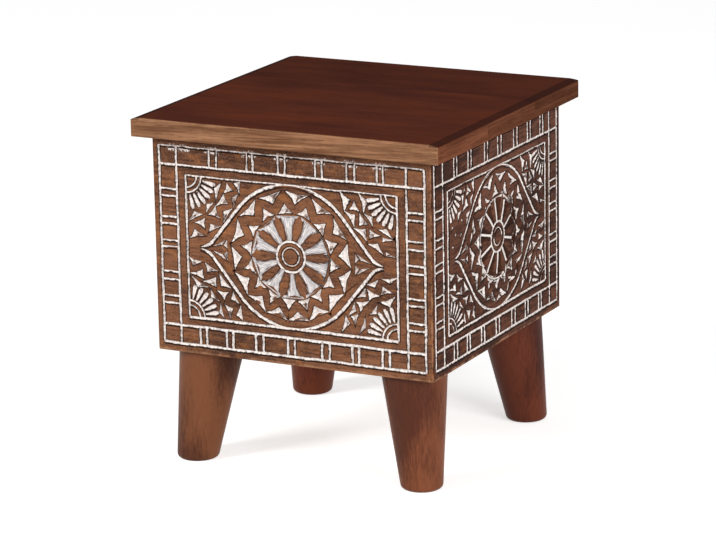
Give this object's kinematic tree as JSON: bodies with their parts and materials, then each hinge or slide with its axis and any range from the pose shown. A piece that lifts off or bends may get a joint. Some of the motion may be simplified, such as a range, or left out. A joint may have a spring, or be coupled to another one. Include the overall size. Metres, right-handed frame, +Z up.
{
  "type": "side table",
  "caption": "Low square side table: a box with carved, limewashed sides on splayed tapered legs, with a hinged overhanging plank lid that opens onto a storage compartment.",
  "frame": {"origin": "on the floor below the middle of the table", "axes": "+Z up, -Y out of the front, +X to the right along the front"},
  "size_m": [0.33, 0.33, 0.35],
  "materials": {
    "carved_wood": "brown stain, limewash rubbed into the carving",
    "lid_wood": "satin dark stain",
    "leg_wood": "satin brown stain",
    "inner_wood": "bare sawn wood",
    "hinge_brass": "dull brass",
    "zinc_steel": "zinc plated"
  },
  "bodies": {
    "box": {"front_panel": "carved_wood", "back_panel": "carved_wood", "left_panel": "carved_wood", "right_panel": "carved_wood", "base_board": "inner_wood", "base_screws": "zinc_steel", "corner_block_front_left": "inner_wood", "corner_block_front_right": "inner_wood", "corner_block_back_left": "inner_wood", "corner_block_back_right": "inner_wood", "leg_front_left": "leg_wood", "leg_front_right": "leg_wood", "leg_back_left": "leg_wood", "leg_back_right": "leg_wood", "leg_bolts": "zinc_steel", "leg_tee_nuts": "zinc_steel", "hinge_left_box_leaf": "hinge_brass", "hinge_right_box_leaf": "hinge_brass", "hinge_left_pin": "hinge_brass", "hinge_right_pin": "hinge_brass", "hinge_box_screws": "hinge_brass"},
    "lid": {"lid_plank_front": "lid_wood", "lid_plank_middle": "lid_wood", "lid_plank_rear": "lid_wood", "lid_batten_left": "inner_wood", "lid_batten_right": "inner_wood", "hinge_left_lid_leaf": "hinge_brass", "hinge_right_lid_leaf": "hinge_brass", "lid_batten_screws": "zinc_steel", "hinge_lid_screws": "hinge_brass"}
  },
  "joints": [
    {"name": "lid_hinge", "type": "hinge", "parent": "box", "child": "lid", "pos_m": [0, 0.1533, 0.3292], "axis": [-1, 0, 0], "range_deg": [0, 105]}
  ]
}
